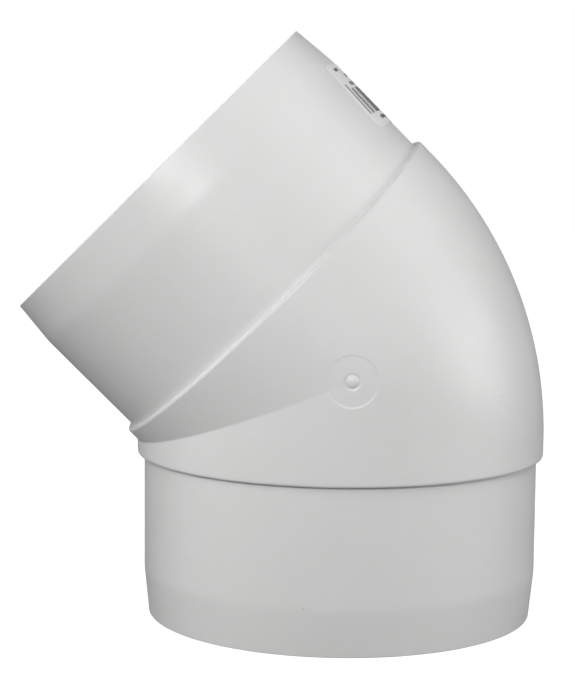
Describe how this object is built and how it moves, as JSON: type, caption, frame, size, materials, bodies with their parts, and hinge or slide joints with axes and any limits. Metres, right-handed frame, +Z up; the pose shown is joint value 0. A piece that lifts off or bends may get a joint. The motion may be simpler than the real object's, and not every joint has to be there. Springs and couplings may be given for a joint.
{
  "type": "duct elbow",
  "caption": "One-piece 45 degree elbow for round duct or large conduit, with a push-in spigot and stop shoulder at each end and a paper label on the upper spigot.",
  "frame": {"origin": "middle of the bounding box's base: the ground plane that the lower spigot's rim stands on", "axes": "+Z up, along the lower spigot's axis; the upper spigot leans 45 degrees towards -X; the bend lies in the XZ plane, and the gate mark faces -Y"},
  "size_m": [0.1606, 0.125, 0.1779],
  "materials": {
    "white_plastic": "satin, as moulded",
    "label_paper": "matt white paper with dark print"
  },
  "bodies": {
    "root": {"elbow_body": "white_plastic", "barcode_label": "label_paper"}
  },
  "joints": []
}
